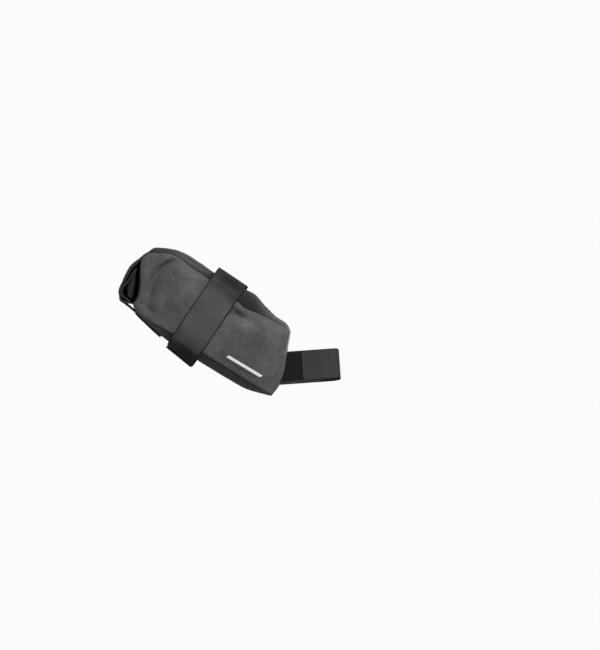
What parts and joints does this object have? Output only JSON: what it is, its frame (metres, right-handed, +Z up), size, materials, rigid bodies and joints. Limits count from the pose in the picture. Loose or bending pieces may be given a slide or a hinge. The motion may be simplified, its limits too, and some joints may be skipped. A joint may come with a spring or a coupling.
{
  "type": "bicycle saddle bag",
  "caption": "Small soft saddle bag with crowned top, rolled rear closure, a wide strap that loops over two rails and a short strap that closes round a post.",
  "frame": {"origin": "midway between the two rails that carry the bag, at the middle of the wide strap's width", "axes": "+X forward towards the post strap, +Y to the bag's left, +Z up; the bag's long axis slopes 33.9 degrees down to the front, as it hangs in use"},
  "size_m": [0.1786, 0.0932, 0.1178],
  "materials": {
    "side_cloth": "heather grey coated plain weave",
    "dark_cloth": "dark grey coated plain weave",
    "webbing": "black ribbed webbing",
    "smooth_strap": "matt rubber-coated fabric",
    "loop_pile": "black loop pile"
  },
  "bodies": {
    "root": {"side_panel_right": "side_cloth", "side_panel_left": "side_cloth", "top_panel": "dark_cloth", "base_panel": "dark_cloth", "front_panel": "side_cloth", "rear_wall": "dark_cloth", "roll_top": "dark_cloth", "gusset_right": "dark_cloth", "gusset_left": "dark_cloth", "roll_tab": "webbing", "rail_strap": "smooth_strap", "post_strap_tab": "loop_pile", "post_strap_band": "smooth_strap"}
  },
  "joints": []
}
